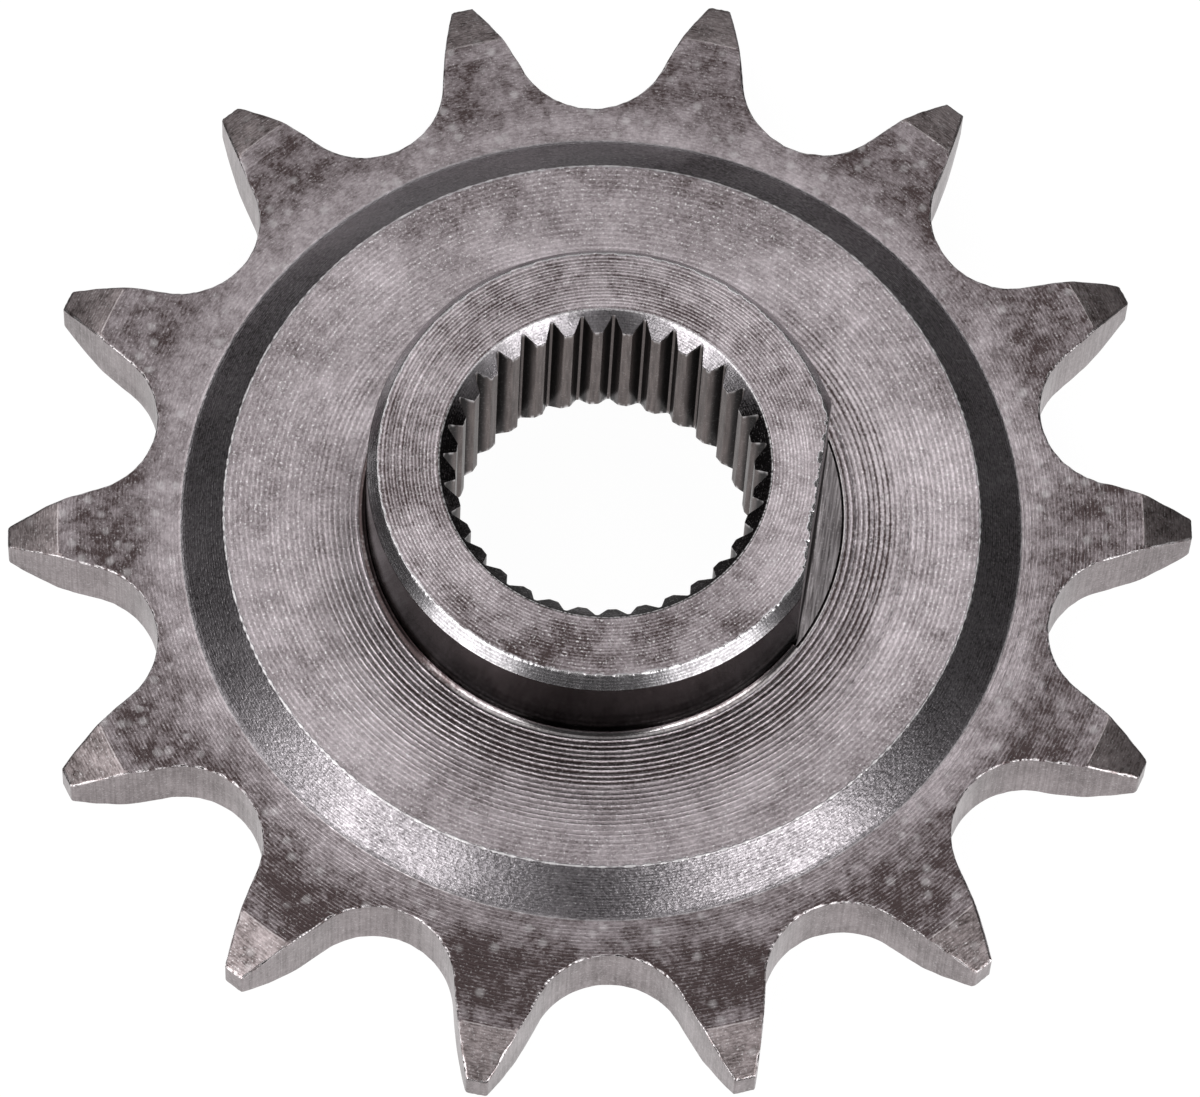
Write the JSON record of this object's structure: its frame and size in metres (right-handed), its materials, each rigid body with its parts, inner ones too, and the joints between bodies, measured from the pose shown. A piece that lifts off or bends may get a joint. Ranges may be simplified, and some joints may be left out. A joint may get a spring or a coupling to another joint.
{
  "type": "chain sprocket",
  "caption": "Steel drive sprocket for a roller chain, with bevelled teeth, a raised boss with a milled flat, and a splined bore.",
  "frame": {"origin": "on the axis of the bore, in the plane of the rim's back face", "axes": "+Z along the axis, from the back towards the boss; +Y through the middle of a tooth gap; +X through the middle of a tooth, on the side of the milled flat"},
  "size_m": [0.0788, 0.0772, 0.0166],
  "materials": {
    "steel": "turned and hobbed steel, slightly worn and mottled"
  },
  "bodies": {
    "root": {"sprocket": "steel"}
  },
  "joints": []
}
